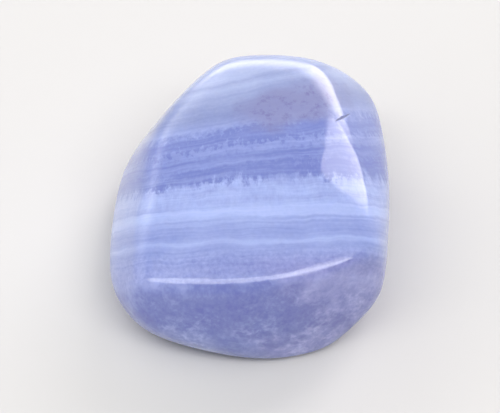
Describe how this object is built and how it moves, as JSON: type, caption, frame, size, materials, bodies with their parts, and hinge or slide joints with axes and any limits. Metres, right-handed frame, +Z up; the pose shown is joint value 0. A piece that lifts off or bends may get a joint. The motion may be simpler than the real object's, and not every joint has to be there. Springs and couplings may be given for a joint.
{
  "type": "blue chalcedony",
  "caption": "Tumbled blue lace agate pebble, one solid with a broad crowned top, a steep front face, bevelled sides and a flat resting face.",
  "frame": {"origin": "middle of the stone's outer box, at the level of its flat resting face", "axes": "+Z up from the resting face, +Y away from the steep front face along the stone's length, +X to the right seen from the front"},
  "size_m": [0.0292, 0.0326, 0.0167],
  "materials": {
    "chalcedony": "tumble-polished to a wet gloss, slightly translucent, in pale and deep periwinkle bands"
  },
  "bodies": {
    "root": {"chalcedony_stone": "chalcedony"}
  },
  "joints": []
}
